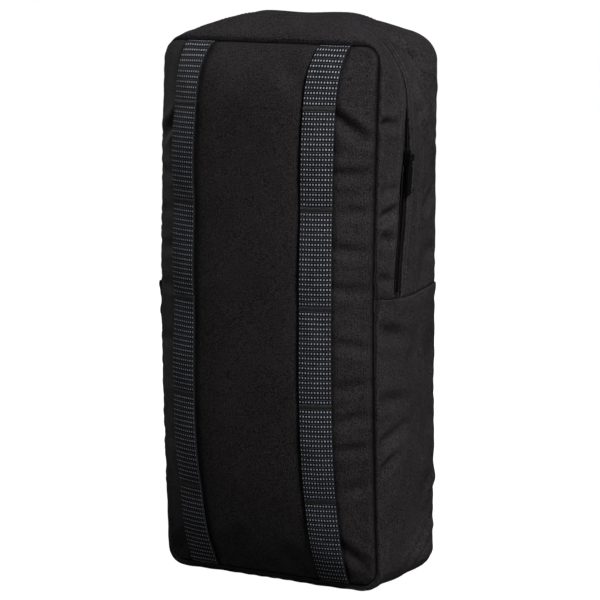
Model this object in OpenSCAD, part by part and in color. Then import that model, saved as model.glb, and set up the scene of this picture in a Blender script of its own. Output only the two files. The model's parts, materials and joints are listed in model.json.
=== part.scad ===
// Zipped side pouch for a rucksack: a tall soft box of coated nylon with two webbing ladders on its
// front. A zip runs up one side, over the top and down the other, and the lid folds back behind it.
// +Z is up, the webbing faces -Y, and the origin is under the middle of the base.

/* [Pouch] */
// Width of the front and rear panels between their seams
panel_w = 195; // [150:1:240]
// Height of the panels between their seams
panel_h = 430; // [350:1:520]
// Depth of the gusset from the front seam to the rear seam
gusset_d = 98; // [80:1:130]
// Corner radius of the panels along their seams
corner_r = 14; // [10:0.5:20]
// Height of the bottom seams above the flat base
base_drop = 5; // [3:0.5:8]
// Height of the lid's fold line and of the lower gusset's hem above the base
fold_z = 236; // [180:1:285]

/* [Fullness] */
// Rise of the front panel's middle above its own seam
front_rise = 33; // [8:1:38]
// Forward bow of the front seam at half height
seam_bow = 8; // [0:1:12]
// Rise of the rear panel's middle above its own seam
rear_rise = 5; // [0:0.5:9]
// Swell of each side gusset
side_crown = 6; // [1:0.5:10]
// Swell of the top gusset
top_crown = 19; // [6:1:26]
// Radius of the soft top corners where the gusset is fullest
crown_r = 70; // [30:1:80]
// Radius of the soft bottom corners where the gusset is fullest
base_r = 26; // [15:1:40]

/* [Cloth] */
// Thickness of the coated cloth with its lining
cloth_t = 1.2; // [0.8:0.1:1.6]
// Clearance between plies laid on each other
ply_gap = 0.2; // [0.15:0.05:0.3]
// Clearance between the lid and the body
lid_gap = 0.5; // [0.4:0.1:1]
// Height of the doubled hem round the lower gusset
hem_h = 12; // [8:1:20]
// Width of the binding tape inside a seam
binding_w = 9; // [6:0.5:14]
// Thickness of the bound seam allowance
binding_t = 1.6; // [1:0.1:2]

/* [Zip] */
// Distance of the zip's centre line behind the front seam
zip_setback = 35; // [33:0.5:44]
// How far the foot of each leg of the zip leans forward
zip_lean = 15; // [0:1:16]
// Half of the mouth between the band's edge and the rain flap's edge
mouth_half = 5.8; // [5:0.1:8]
// Width of the folded rain flap
flap_w = 20; // [14:1:26]
// Width of each zip tape
tape_w = 13; // [10:0.5:15]
// Thickness of each zip tape
tape_t = 0.6; // [0.4:0.1:0.8]
// Width of one half of the coil
coil_w = 2.6; // [2:0.1:3]
// Height of the coil
coil_t = 2.2; // [1.8:0.1:2.6]
// Distance of the sliders below the top of the zip
slider_drop = 108; // [90:1:118]

/* [Slider] */
// Length of a slider
slider_l = 13; // [10:0.5:16]
// Width of a slider
slider_w = 9; // [8:0.5:10]
// Thickness of a slider's two plates
plate_t = 1.2; // [1:0.1:1.5]
// Radius of the pin that holds the pull
pin_r = 0.75; // [0.6:0.05:0.9]
// Length of the pull below its pin
pull_l = 30; // [20:1:40]
// Width of the pull
pull_w = 7; // [5.5:0.1:8]
// Thickness of the pull
pull_t = 1.4; // [1:0.1:1.8]

/* [Webbing] */
// Width of the webbing
web_w = 25; // [20:1:30]
// Thickness of the webbing
web_t = 1.5; // [1:0.1:2.2]
// Distance of each webbing's centre from the panel's centre line, measured over the cloth
web_place = 60; // [50:1:66]
// Distance between bar tacks
tack_pitch = 77; // [60:0.5:80]
// Height of a bar tack's stitching
tack_h = 3; // [2:0.5:5]
// Thickness of a bar tack's stitching
tack_t = 0.8; // [0.5:0.1:1.2]

/* [Hidden] */

cloth_colour = [0.10, 0.10, 0.105];
side_colour = [0.13, 0.13, 0.135];
hem_colour = [0.16, 0.16, 0.17];
webbing_colour = [0.22, 0.23, 0.26];
tack_colour = [0.09, 0.09, 0.10];
tape_colour = [0.06, 0.06, 0.065];
metal_colour = [0.07, 0.07, 0.075];

tack_count = 5;
leg_steps = 10;
low_steps = 7;
arc_steps = 7;
top_steps = 5;
crown_power = 2.4;
base_flat = 0.55;
rise_power = 3.2;
high_end_power = 12;
low_end_power = 4.2;

seam_low = base_drop;
seam_high = base_drop + panel_h;
mid_z = (seam_low + seam_high) / 2;
front_y = (seam_bow + front_rise - gusset_d - rear_rise) / 2;
rear_y = front_y + gusset_d;
zip_y = front_y + zip_setback;
zip_t = zip_setback / gusset_d;
first_t = (cloth_t + ply_gap) / gusset_d;
last_t = 1 - first_t;
hinge_y = rear_y + rear_rise;

fold_t = 2 * cloth_t;
tape_in = fold_t + ply_gap;
coil_gap = pin_r + 0.45;
coil_in = tape_in - coil_t;
plate_out = coil_in - 0.3;
plate_in = tape_in + tape_t + 0.5;
post_half = coil_gap - 0.4;
lid_z = fold_z + lid_gap;
slider_z = top_z(zip_t) - slider_drop;
bend_z = slider_z + slider_l / 2 + 0.5;
lean_fade = 150;
lean_angle = atan(zip_lean / (bend_z - fold_z));
stop_h = 5;
pull_play = 0.3;
eye_r = pin_r + 1;
pin_x = plate_t + eye_r + pull_play;

// ---- Shape of the swollen gusset. t runs from 0 at the front seam to 1 at the rear seam. ----

function clamp01(v) = min(1, max(0, v));
function swell(t) = 1 - pow(abs(2 * t - 1), crown_power);
function half_w(t) = panel_w / 2 + side_crown * swell(t);
function top_z(t) = seam_high + top_crown * swell(t);
function low_z(t) = base_drop * pow(clamp01((abs(2 * t - 1) - base_flat) / (1 - base_flat)), 1.6);
function top_r(t) = corner_r + (crown_r - corner_r) * swell(t);
function low_r(t) = corner_r + (base_r - corner_r) * swell(t);
function bow(z) = seam_bow * clamp01(1 - pow((z - mid_z) / (panel_h / 2), 2));
function lean(z) = zip_lean * (z > fold_z ? clamp01((bend_z - z) / (bend_z - fold_z))
                               : clamp01(1 - (fold_z - z) / lean_fade));
lean_from = zip_t - tape_w / gusset_d - 0.02;
lean_to = zip_t + (mouth_half + flap_w) / gusset_d;
function lean_share(t) =
    clamp01(min((t - first_t) / (lean_from - first_t), (last_t - t) / (last_t - lean_to)));
function gusset_y(t, z) = front_y + gusset_d * t - bow(z) * clamp01(1 - t / zip_t)
                          - lean(z) * lean_share(t);
function place(t, x, z) = [x, gusset_y(t, z), z];

// Heights up a leg from z0 to zc, with a point at the bend of the zip.
function leg_z(i, z0, zc) =
    i < low_steps ? z0 + (bend_z - z0) * i / low_steps
    : bend_z + (zc - bend_z) * (i - low_steps) / (leg_steps - low_steps);

// Points of the outline above height z0, from the right leg over the top to the left leg,
// moved inwards by k.
function upper(t, k, z0) =
    let (w = half_w(t), r = top_r(t), z = top_z(t), zc = z - r)
    concat(
        [for (i = [0 : leg_steps - 1]) place(t, w - k, leg_z(i, z0, zc))],
        [for (i = [0 : arc_steps]) let (a = 90 * i / arc_steps)
            place(t, w - r + (r - k) * cos(a), zc + (r - k) * sin(a))],
        [for (i = [1 : top_steps - 1]) place(t, (w - r) * (1 - 2 * i / top_steps), z - k)],
        [for (i = [arc_steps : -1 : 0]) let (a = 90 * i / arc_steps)
            place(t, -(w - r) - (r - k) * cos(a), zc + (r - k) * sin(a))],
        [for (i = [leg_steps - 1 : -1 : 0]) place(t, k - w, leg_z(i, z0, zc))]);

// Points of the outline below height z1, from the left side under the base to the right side.
function lower(t, k, z1) =
    let (w = half_w(t), r = low_r(t), z = low_z(t), zc = z + r)
    concat(
        [for (i = [0 : leg_steps - 1]) place(t, k - w, z1 + (zc - z1) * i / leg_steps)],
        [for (i = [0 : arc_steps]) let (a = 90 * i / arc_steps)
            place(t, -(w - r) - (r - k) * cos(a), zc - (r - k) * sin(a))],
        [for (i = [1 : top_steps - 1]) place(t, -(w - r) * (1 - 2 * i / top_steps), z + k)],
        [for (i = [arc_steps : -1 : 0]) let (a = 90 * i / arc_steps)
            place(t, w - r + (r - k) * cos(a), zc - (r - k) * sin(a))],
        [for (i = [leg_steps - 1 : -1 : 0]) place(t, w - k, z1 + (zc - z1) * i / leg_steps)]);

function around(t, k) =
    let (up = upper(t, k, mid_z), low = lower(t, k, mid_z))
    concat([for (i = [0 : len(up) - 2]) up[i]], [for (i = [0 : len(low) - 2]) low[i]]);

function steps(a, b, n) = [for (i = [0 : n]) a + (b - a) * i / n];

// ---- Closed wall between an outer and an inner grid of points ----

function quad(a, b, c, d) = [[a, b, c], [a, c, d]];
function joined(lists) = [for (l = lists) for (f = l) f];

module wall(outer, inner, closed = false) {
    m = len(outer);
    n = len(outer[0]);
    size = m * n;
    last = closed ? n - 1 : n - 2;
    skins = joined([for (i = [0 : m - 2]) for (j = [0 : last])
        let (k = (j + 1) % n, a = i * n + j, b = i * n + k, c = a + n, d = b + n)
        concat(quad(a, b, d, c), quad(size + a, size + c, size + d, size + b))]);
    rims = joined([for (j = [0 : last])
        let (k = (j + 1) % n, e = (m - 1) * n)
        concat(quad(j, size + j, size + k, k), quad(e + j, e + k, size + e + k, size + e + j))]);
    sides = closed ? [] : joined([for (i = [0 : m - 2])
        let (a = i * n, c = a + n, b = a + n - 1, d = b + n)
        concat(quad(a, c, size + c, size + a), quad(b, size + b, size + d, d))]);
    polyhedron(points = concat(joined(outer), joined(inner)), faces = concat(skins, rims, sides));
}

// Strip of gusset over the top, between two depths, with its inner face at in_k for each depth.
module over_top(depths, out_k, in_k, z0) {
    wall([for (i = [0 : len(depths) - 1]) upper(depths[i], out_k, z0)],
         [for (i = [0 : len(depths) - 1]) upper(depths[i], in_k[i], z0)]);
}

module under_base(depths, out_k, in_k, z1) {
    wall([for (t = depths) lower(t, out_k, z1)], [for (t = depths) lower(t, in_k, z1)]);
}

// ---- Front and rear panels ----

// Half width of a panel's seam outline at height z, with its round corners.
function seam_x(z) =
    let (d = corner_r - min(corner_r, z - seam_low, seam_high - z))
    panel_w / 2 - corner_r + sqrt(max(0, corner_r * corner_r - d * d));
function fullness(x, z) =
    (1 - pow(clamp01(abs(x) / seam_x(z)), rise_power))
    * (1 - pow(abs(z - mid_z) / (panel_h / 2), z > mid_z ? high_end_power : low_end_power));
function front_at(x, z) = front_y - bow(z) - front_rise * fullness(x, z);
function rear_at(x, z) =
    rear_y + rear_rise * (1 - pow(clamp01(abs(x) / seam_x(z)), 4))
    * (1 - pow(abs(z - mid_z) / (panel_h / 2), 6));

function corner_rows(n) = [for (i = [0 : n]) corner_r * (1 - cos(90 * i / n))];
function low_rows() = [for (d = corner_rows(4)) seam_low + d];
function high_rows() = [for (i = [4 : -1 : 0]) seam_high - corner_rows(4)[i]];
function between(a, b, n) = [for (i = [1 : n - 1]) a + (b - a) * i / n];
columns = [for (i = [-9 : 9]) sin(10 * i)];

// Heights of the rows of points over the front panel, closer together towards its full top end.
full_z = seam_high - 4 * corner_r;
front_rows = concat(low_rows(), between(seam_low + corner_r, full_z, 16), [full_z],
                    between(full_z, seam_high - corner_r, 8), high_rows());

module panel_front() {
    grid = [for (z = front_rows)
        [for (c = columns) [c * seam_x(z), front_at(c * seam_x(z), z), z]]];
    wall(grid, [for (row = grid) [for (p = row) p + [0, cloth_t, 0]]]);
}

module panel_rear(rows) {
    grid = [for (z = rows) [for (c = columns) [c * seam_x(z), rear_at(c * seam_x(z), z), z]]];
    wall([for (row = grid) [for (p = row) p - [0, cloth_t, 0]]], grid);
}

module front_panel() color(cloth_colour) panel_front();

module rear_panel_lower() color(cloth_colour)
    panel_rear(concat(low_rows(), between(seam_low + corner_r, fold_z, 9), [fold_z]));

module rear_panel_upper() color(cloth_colour)
    panel_rear(concat([lid_z], between(lid_z, seam_high - corner_r, 9), high_rows()));

// ---- Gusset ----

band_end = zip_t - mouth_half / gusset_d;
flap_start = zip_t + mouth_half / gusset_d;
flap_end = flap_start + flap_w / gusset_d;
band_fold = band_end - 8 / gusset_d;

module front_band() color(side_colour)
    over_top(concat(steps(first_t, band_fold, 4), [band_fold + 0.001, band_end]), 0,
             [for (i = [0 : 6]) i < 5 ? cloth_t : fold_t], fold_z + ply_gap);

module rain_flap() color(side_colour)
    over_top(steps(flap_start, flap_end, 3), 0, [for (i = [0 : 3]) fold_t], lid_z);

module rear_band() color(side_colour)
    over_top(steps(flap_end + ply_gap / gusset_d, last_t, 6), 0,
             [for (i = [0 : 6]) cloth_t], lid_z);

module lower_gusset() color(side_colour)
    under_base(concat(steps(first_t, 0.2, 3), steps(0.225, 0.775, 4), steps(0.8, last_t, 3)), 0,
               cloth_t, fold_z);

// The hem is a doubled strip on each side, outside the lower gusset.
module lower_gusset_hem() color(hem_colour)
    for (s = [-1, 1])
        hem_side(s, steps(first_t, last_t, 10));

module hem_side(s, depths) {
    function strip(k) = [for (t = depths) [for (z = [fold_z - hem_h, fold_z])
        place(t, s * (half_w(t) + k), z)]];
    near = strip(ply_gap);
    far = strip(ply_gap + cloth_t);
    if (s > 0)
        wall(far, near);
    else
        wall(near, far);
}

// ---- Bound seams inside ----

binding_k = cloth_t + ply_gap;
binding_depth = binding_w / gusset_d;

module front_seam_binding() color(tape_colour)
    wall([for (t = [first_t + 0.004, first_t + binding_depth]) around(t, binding_k)],
         [for (t = [first_t + 0.004, first_t + binding_depth]) around(t, binding_k + binding_t)],
         closed = true);

module rear_seam_binding_upper() color(tape_colour)
    over_top([last_t - binding_depth, last_t - 0.004], binding_k,
             [binding_k + binding_t, binding_k + binding_t], lid_z);

module rear_seam_binding_lower() color(tape_colour)
    under_base([last_t - binding_depth, last_t - 0.004], binding_k, binding_k + binding_t, fold_z);

// ---- Zip ----

tape_near = (coil_gap + coil_w + ply_gap) / gusset_d;
tape_far = tape_near + (tape_w - coil_w) / gusset_d;

module zip_tape_front() color(tape_colour)
    over_top(steps(zip_t - tape_far, zip_t - tape_near, 3), tape_in,
             [for (i = [0 : 3]) tape_in + tape_t], fold_z + ply_gap);

module zip_tape_rear() color(tape_colour)
    over_top(steps(zip_t + tape_near, zip_t + tape_far, 3), tape_in,
             [for (i = [0 : 3]) tape_in + tape_t], lid_z);

// Flat arch with round corners, moved inwards by k, standing on height z0.
module arch(k, z0) {
    w = half_w(zip_t);
    r = top_r(zip_t);
    z = top_z(zip_t);
    translate([k - w, z0]) square([2 * (w - k), z - r - z0]);
    translate([r - w, z0]) square([2 * (w - r), z - k - z0]);
    for (s = [-1, 1])
        translate([s * (w - r), z - r]) intersection() {
            circle(r = r - k, $fn = 96);
            translate([k - r, -1]) square([2 * (r - k), r - k + 1]);
        }
}

// Half of the coil, from y0 behind the zip's line: an arch above the bend and two leaning legs.
module coil(y0) {
    foot = fold_z + stop_h + 2 * ply_gap;
    translate([0, zip_y + y0 + coil_w, 0]) rotate([90, 0, 0]) linear_extrude(coil_w)
        difference() {
            arch(coil_in, bend_z);
            arch(coil_in + coil_t, bend_z - 1);
        }
    for (s = [-1, 1])
        translate([s * (half_w(zip_t) - coil_in - coil_t / 2) - coil_t / 2, 0, 0])
            rotate([90, 0, 90]) linear_extrude(coil_t)
                polygon([for (c = [[0, foot], [coil_w, foot], [coil_w, bend_z],
                                   [coil_w, bend_z + 1], [0, bend_z + 1], [0, bend_z]])
                    [zip_y - lean(c[1]) + y0 + c[0], c[1]]]);
}

module zip_coil_front() color(tape_colour) coil(-coil_gap - coil_w);
module zip_coil_rear() color(tape_colour) coil(coil_gap);

// A stop closes the foot of each leg. It holds the front half of the coil and reaches the centre.
module zip_stops() color(metal_colour)
    for (s = [-1, 1])
        translate([s * (half_w(zip_t) - coil_in - coil_t / 2), 0, 0])
            translate([-coil_t / 2, zip_y - zip_lean - coil_gap - coil_w, fold_z + ply_gap])
                cube([coil_t, coil_w + coil_gap, stop_h]);

// ---- Slider and pull, drawn with +X outwards and its centre line on the zip ----

module slider_outline()
    intersection() {
        square([slider_w, slider_l], center = true);
        translate([0, slider_l * 0.12]) circle(r = slider_l * 0.62, $fn = 64);
    }

module plate(x)
    translate([x, 0, 0]) rotate([90, 0, 90]) linear_extrude(plate_t) slider_outline();

module slider() {
    cheek_w = 1.1;
    cheek_y = 2.3 + pull_play;
    plate(-plate_out);
    plate(-plate_in - plate_t);
    translate([-plate_in - 0.1, -post_half, 1])
        cube([plate_in - plate_out + 0.2, 2 * post_half, slider_l / 2 - 2.5]);
    for (s = [-1, 1])
        translate([plate_t - plate_out - 0.1, s * (cheek_y + cheek_w / 2) - cheek_w / 2, -2])
            cube([pin_x + 1.4 - plate_t + 0.1, cheek_w, 5]);
    translate([pin_x - plate_out, 0, 0.5]) rotate([90, 0, 0])
        cylinder(r = pin_r, h = 2 * (cheek_y + cheek_w) - 0.4, center = true, $fn = 48);
}

module pull() {
    bore_r = pin_r + 0.1;
    translate([pin_x - plate_out, 0, 0.5])
        difference() {
            union() {
                rotate([90, 0, 0]) cylinder(r = eye_r, h = 4.6, center = true, $fn = 48);
                translate([-pull_t / 2, -2.3, -8]) cube([pull_t, 4.6, 8]);
                translate([-pull_t / 2, 0, 0]) rotate([90, 0, 90]) linear_extrude(pull_t)
                    difference() {
                        pull_outline();
                        translate([0, -pull_l + pull_w / 2]) circle(r = 1.6, $fn = 48);
                    }
            }
            rotate([90, 0, 0]) cylinder(r = bore_r, h = 6, center = true, $fn = 48);
        }
}

module pull_outline() {
    translate([-pull_w / 2, pull_w / 2 - pull_l]) square([pull_w, pull_l - pull_w / 2 - 7]);
    translate([0, pull_w / 2 - pull_l]) circle(d = pull_w, $fn = 48);
}

module on_leg(s)
    translate([s * half_w(zip_t), zip_y - lean(slider_z), slider_z])
        rotate([-lean_angle, 0, 0]) rotate([0, 0, s > 0 ? 0 : 180]) children();

module zip_slider_right() color(metal_colour) on_leg(1) slider();
module zip_slider_left() color(metal_colour) on_leg(-1) slider();
module zip_pull_right() color(metal_colour) on_leg(1) pull();
module zip_pull_left() color(metal_colour) on_leg(-1) pull();

// ---- Webbing. Its place across the panel is measured over the swollen cloth. ----

arc_step = 4;
function slope(x, z) = (front_at(x + 0.5, z) - front_at(x - 0.5, z));
function x_over(s, z, x = 0) =
    s <= arc_step ? x + s / norm([1, slope(x, z)])
    : x_over(s - arc_step, z, x + arc_step / norm([1, slope(x, z)]));
function on_front(s, z, lift) = [x_over(s, z), front_at(x_over(s, z), z) - lift, z];
web_columns = steps(web_place - web_w / 2, web_place + web_w / 2, 4);
tack_z = [for (i = [0 : tack_count - 1]) mid_z + 12 + tack_pitch * (i - (tack_count - 1) / 2)];

module ply_on_front(rows, near, far)
    wall([for (z = rows) [for (s = web_columns) on_front(s, z, far)]],
         [for (z = rows) [for (s = web_columns) on_front(s, z, near)]]);

web_near = 3 * ply_gap;
web_far = web_near + web_t;

// The webbing bends at the same heights as the panel under it.
module webbing()
    ply_on_front(concat([seam_low + 0.5],
                        [for (z = front_rows) if (z > seam_low + 0.6 && z < seam_high - 0.6) z],
                        [seam_high - 0.5]), web_near, web_far);

module bar_tacks()
    for (z = tack_z)
        ply_on_front([z - tack_h / 2, z + tack_h / 2], web_far + ply_gap, web_far + ply_gap + tack_t);

module webbing_right() color(webbing_colour) webbing();
module webbing_left() color(webbing_colour) mirror([1, 0, 0]) webbing();
module bar_tacks_right() color(tack_colour) bar_tacks();
module bar_tacks_left() color(tack_colour) mirror([1, 0, 0]) bar_tacks();

front_panel();
front_band();
lower_gusset();
lower_gusset_hem();
rear_panel_lower();
rear_panel_upper();
rear_band();
rain_flap();
zip_tape_front();
zip_tape_rear();
zip_coil_front();
zip_coil_rear();
zip_stops();
zip_slider_right();
zip_slider_left();
zip_pull_right();
zip_pull_left();
webbing_left();
webbing_right();
bar_tacks_left();
bar_tacks_right();
front_seam_binding();
rear_seam_binding_lower();
rear_seam_binding_upper();
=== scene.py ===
"""Visible model of a zipped rucksack side pouch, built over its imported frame.

The cloth, the webbing, the zip and the stitching are worked in code as surfaces on the pouch's
filled shape. Lengths are in metres. +Z is up, and the webbing faces -Y.
"""

from __future__ import annotations

import json
import logging
import math
from dataclasses import dataclass
from enum import Enum
from typing import Callable

import bmesh
import bpy
import numpy as np
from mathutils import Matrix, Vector

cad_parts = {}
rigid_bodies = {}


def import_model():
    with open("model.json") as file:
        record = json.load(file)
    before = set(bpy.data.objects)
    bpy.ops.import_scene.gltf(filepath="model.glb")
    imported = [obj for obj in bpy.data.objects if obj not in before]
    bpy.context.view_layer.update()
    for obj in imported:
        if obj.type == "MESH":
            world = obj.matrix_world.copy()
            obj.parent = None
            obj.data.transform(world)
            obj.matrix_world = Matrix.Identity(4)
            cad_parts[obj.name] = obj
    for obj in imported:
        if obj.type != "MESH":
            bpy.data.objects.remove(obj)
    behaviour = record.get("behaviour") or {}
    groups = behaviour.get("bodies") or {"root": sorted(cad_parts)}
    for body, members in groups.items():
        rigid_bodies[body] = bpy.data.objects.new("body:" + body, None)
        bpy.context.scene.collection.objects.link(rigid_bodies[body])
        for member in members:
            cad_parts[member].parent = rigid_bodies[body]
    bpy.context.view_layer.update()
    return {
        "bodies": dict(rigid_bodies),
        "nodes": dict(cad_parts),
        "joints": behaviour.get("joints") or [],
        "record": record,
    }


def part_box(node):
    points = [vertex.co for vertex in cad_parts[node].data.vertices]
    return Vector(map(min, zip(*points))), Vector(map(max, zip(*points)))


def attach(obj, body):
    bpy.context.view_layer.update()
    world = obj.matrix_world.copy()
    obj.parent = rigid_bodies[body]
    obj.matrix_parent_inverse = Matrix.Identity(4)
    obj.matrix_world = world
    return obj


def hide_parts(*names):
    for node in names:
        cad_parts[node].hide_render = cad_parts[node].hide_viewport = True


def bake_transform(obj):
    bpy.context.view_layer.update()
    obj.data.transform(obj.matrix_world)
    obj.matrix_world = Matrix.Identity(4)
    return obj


log = logging.getLogger("side_pouch")

MM = 0.001
Array = np.ndarray
BACK = np.array([0.0, 1.0, 0.0])
PLAN_FRONT_Y = 37.5 * MM
HALF_ROUND = np.radians([22.5, 67.5, 112.5, 157.5])
SIDES = ((1.0, "right"), (-1.0, "left"))


def bell(d: Array, width: float) -> Array:
    """Gaussian of a distance, with a peak of 1, that falls to 1/e at the width."""
    return np.exp(-((d / width) ** 2))


def grown(value: Array, power: float = 1) -> Array:
    """Limits a share to between 0 and 1, and raises it to a power."""
    return np.clip(value, 0, 1) ** power


def eased(count: int, strength: float = 0.5) -> Array:
    """Places from -1 to 1 that lie closer together towards both ends."""
    v = np.linspace(-1, 1, count)
    return v + strength * np.sin(math.pi * v) / math.pi


def run_length(line: Array) -> Array:
    """Length along a line at each of its points."""
    return np.concatenate([[0], np.cumsum(np.linalg.norm(np.diff(line, axis=0), axis=1))])


# ---- Filled shape of the pouch ----


class Path(Enum):
    """The two ways a gusset strip runs round the pouch."""

    OVER = "up one side, over the top and down the other"
    UNDER = "down one side, under the base and up the other"


@dataclass(frozen=True)
class Form:
    """The pouch's filled shape. t runs from 0 at the front seam to 1 at the rear seam."""

    panel_w: float
    seam_low: float
    seam_high: float
    front_y: float
    rear_y: float
    fold_z: float
    zip_t: float
    bend_z: float
    hinge: Vector
    corner_r: float = 14 * MM
    crown_r: float = 70 * MM
    base_r: float = 26 * MM
    side_crown: float = 6 * MM
    top_crown: float = 19 * MM
    seam_bow: float = 8 * MM
    front_rise: float = 33 * MM
    rear_rise: float = 5 * MM
    zip_lean: float = 15 * MM
    lean_fade: float = 150 * MM
    ply: float = 1.2 * MM
    ply_gap: float = 0.2 * MM
    tape_w: float = 13 * MM
    mouth: float = 5.8 * MM
    flap_w: float = 20 * MM
    web_place: float = 60 * MM
    web_half: float = 12.5 * MM

    @staticmethod
    def of_frame(frame: dict) -> Form:
        """Reads the shape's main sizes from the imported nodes.


        Returns:
            The form, in metres.
        """
        front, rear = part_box("front_panel"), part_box("rear_panel_upper")
        coil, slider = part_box("zip_coil_front"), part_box("zip_slider_right")
        hinge = next(j for j in frame["joints"] if j["name"] == "lid_fold")["pos_m"]
        front_y, rear_y = front[1].y - Form.ply, rear[0].y + Form.ply
        zip_y = coil[1].y + 1.2 * MM
        return Form(
            panel_w=front[1].x - front[0].x,
            seam_low=front[0].z,
            seam_high=front[1].z,
            front_y=front_y,
            rear_y=rear_y,
            fold_z=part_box("lower_gusset")[1].z,
            zip_t=(zip_y - front_y) / (rear_y - front_y),
            bend_z=(slider[0].z + slider[1].z) / 2 + 7 * MM,
            hinge=Vector(hinge),
        )

    @property
    def depth(self) -> float:
        """Depth of the gusset between its seams."""
        return self.rear_y - self.front_y

    @property
    def mid_z(self) -> float:
        """Height of the panels' middle."""
        return (self.seam_low + self.seam_high) / 2

    @property
    def half_h(self) -> float:
        """Half of the panels' height."""
        return (self.seam_high - self.seam_low) / 2

    def swell(self, t: Array) -> Array:
        """Share of the full crown at depth t: 1 - |2t - 1| to the power 2.4."""
        return 1 - np.abs(2 * t - 1) ** 2.4

    def half_w(self, t: Array) -> Array:
        """Half width of the gusset at depth t."""
        return self.panel_w / 2 + self.side_crown * self.swell(t)

    def bow(self, z: Array) -> Array:
        """Forward bow of the front seam at height z, a parabola with its top at half height."""
        return self.seam_bow * grown(1 - ((z - self.mid_z) / self.half_h) ** 2)

    def lean(self, z: Array) -> Array:
        """Forward lean of the zip at height z: full at the fold, none at the bend."""
        up = grown((self.bend_z - z) / (self.bend_z - self.fold_z))
        down = grown(1 - (self.fold_z - z) / self.lean_fade)
        return self.zip_lean * np.where(z > self.fold_z, up, down * down * (3 - 2 * down))

    def gusset_y(self, t: Array, z: Array) -> Array:
        """Y of the gusset at depth t and height z, with the bow and the zip's lean.

        Args:
            t: depth, from 0 to 1.
            z: height.

        Returns:
            The Y of each point: a straight line between the seams, less the bow and the lean.
        """
        first = 1.4 * MM / self.depth
        lean_from = self.zip_t - self.tape_w / self.depth - 0.02
        lean_to = self.zip_t + (self.mouth + self.flap_w) / self.depth
        rising, falling = (t - first) / (lean_from - first), (1 - first - t) / (1 - first - lean_to)
        share = grown(np.minimum(rising, falling))
        bow = self.bow(z) * grown(1 - t / self.zip_t)
        return self.front_y + self.depth * t - bow - self.lean(z) * share

    def run(self, path: Path, u: Array, t: Array, foot: float) -> tuple[Array, Array]:
        """Points along a gusset strip: a straight leg, a quarter circle, a flat, and back.

        Args:
            path: over the top or under the base.
            u: share of the way along, from 0 to 1.
            t: depth of each point.
            foot: height at which both legs end.

        Returns:
            The points, and their normals outwards.
        """
        u, t = np.broadcast_arrays(u, t)
        up = path is Path.OVER
        w, swell = self.half_w(t), self.swell(t)
        if up:
            r = self.corner_r + (self.crown_r - self.corner_r) * swell
            leg = self.seam_high + self.top_crown * swell - r - foot
        else:
            r = self.corner_r + (self.base_r - self.corner_r) * swell
            drop = grown((np.abs(2 * t - 1) - 0.78) / 0.22, 1.25)
            leg = foot - self.seam_low * drop - r
        arc, flat = r * math.pi / 2, w - r
        total = 2 * (leg + arc + flat)
        h = np.minimum(u, 1 - u) * total
        side = np.where(u < 0.5, 1.0, -1.0) * (1 if up else -1)
        a = np.clip((h - leg) / r, 0, math.pi / 2)
        rise = np.clip(h, 0, leg) + r * np.sin(a)
        x = side * (w - r + r * np.cos(a) - np.clip(h - leg - arc, 0, None))
        z = foot + rise if up else foot - rise
        p = np.stack([x, self.gusset_y(t, z), z], -1)
        n = np.stack([side * np.cos(a), 0 * a, np.sin(a) * (1 if up else -1)], -1)
        return p, n

    def seam_x(self, z: Array) -> Array:
        """Half width of a panel's outline at height z, with its round corners."""
        r = self.corner_r
        d = r - np.minimum(r, np.minimum(z - self.seam_low, self.seam_high - z))
        return self.panel_w / 2 - r + np.sqrt(np.clip(r**2 - d * d, 0, None))

    def front_at(self, x: Array, z: Array) -> Array:
        """Y of the front panel: the bowed seam less the rise of a full, flat-topped crown.

        Args:
            x: place across.
            z: height.

        Returns:
            The Y of each point.
        """
        across = 1 - grown(np.abs(x) / self.seam_x(z), 3.2)
        power = np.where(z > self.mid_z, 12.0, 4.2)
        along = 1 - grown(np.abs(z - self.mid_z) / self.half_h, power)
        return self.front_y - self.bow(z) - self.front_rise * across * along

    def rear_at(self, x: Array, z: Array) -> Array:
        """Y of the rear panel, a low crown with a flat middle."""
        across = 1 - grown(np.abs(x) / self.seam_x(z), 4)
        along = 1 - grown(np.abs(z - self.mid_z) / self.half_h, 6)
        return self.rear_y + self.rear_rise * across * along

    def hem_line(self, t: Array) -> Array:
        """Height of the hem's fold at depth t, which sags between its seams."""
        return self.fold_z + 2 * MM - 3.2 * MM * np.sin(grown(t) * math.pi) ** 1.5

    def over_panel(self, s: Array, z: Array) -> Array:
        """X of a place s measured over the swollen panel from its centre line.

        The panel's length is added up from the middle at each height, and read back at s.

        Args:
            s: places over the panel, in metres.
            z: heights.

        Returns:
            X, as heights by places.
        """
        step = 0.5 * MM
        x = np.arange(184) * step
        y = self.front_at(x[None], z[:, None])
        length = np.cumsum(np.hypot(np.diff(y, axis=1), step), 1)
        length = np.pad(length, ((0, 0), (1, 0)))
        spot = (length[:, None, :] < s[None, :, None]).sum(-1) - 1
        spot = np.clip(spot, 0, len(x) - 2)
        low = np.take_along_axis(length, spot, 1)
        high = np.take_along_axis(length, spot + 1, 1)
        return x[spot] + step * (s[None] - low) / (high - low)

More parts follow.
